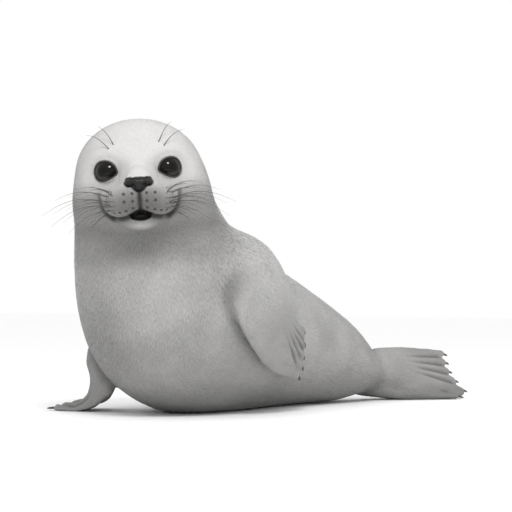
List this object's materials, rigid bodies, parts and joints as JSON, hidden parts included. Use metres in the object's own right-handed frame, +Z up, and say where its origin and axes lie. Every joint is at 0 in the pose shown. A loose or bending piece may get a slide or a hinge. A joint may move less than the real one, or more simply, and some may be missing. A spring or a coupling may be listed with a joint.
{
  "type": "harbor seal",
  "caption": "Young harbor seal at rest on its belly, head raised and turned to its left, with spread fore and hind flippers, whiskers and claws.",
  "frame": {"origin": "centre of the bounding box at its bottom, on the floor under the animal", "axes": "+Z up; +X towards the tail, along the body; the seal's left side, to which its head is turned, faces -Y"},
  "size_m": [0.801, 0.3626, 0.3741],
  "materials": {
    "coat": "short silver-grey fur, faintly mottled",
    "face_coat": "short pale grey fur",
    "flipper_skin": "short dark grey fur over webbed skin",
    "nose_skin": "moist black skin",
    "eye": "wet, near black",
    "claw": "dark horn"
  },
  "bodies": {
    "root": {"rump": "coat", "belly": "coat", "thorax": "coat", "chest": "coat", "neck": "coat", "tail": "coat", "head": "face_coat", "muzzle": "face_coat", "lower_jaw": "face_coat", "nose": "nose_skin", "eye_left": "eye", "eye_right": "eye", "fore_flipper_left": "flipper_skin", "fore_claw_left_1": "claw", "fore_claw_left_2": "claw", "fore_claw_left_3": "claw", "fore_claw_left_4": "claw", "fore_claw_left_5": "claw", "fore_flipper_right": "flipper_skin", "fore_claw_right_1": "claw", "fore_claw_right_2": "claw", "fore_claw_right_3": "claw", "fore_claw_right_4": "claw", "fore_claw_right_5": "claw", "hind_flipper_left": "flipper_skin", "hind_claw_left_1": "claw", "hind_claw_left_2": "claw", "hind_claw_left_3": "claw", "hind_claw_left_4": "claw", "hind_claw_left_5": "claw", "hind_flipper_right": "flipper_skin", "hind_claw_right_1": "claw", "hind_claw_right_2": "claw", "hind_claw_right_3": "claw", "hind_claw_right_4": "claw", "hind_claw_right_5": "claw"}
  },
  "joints": []
}
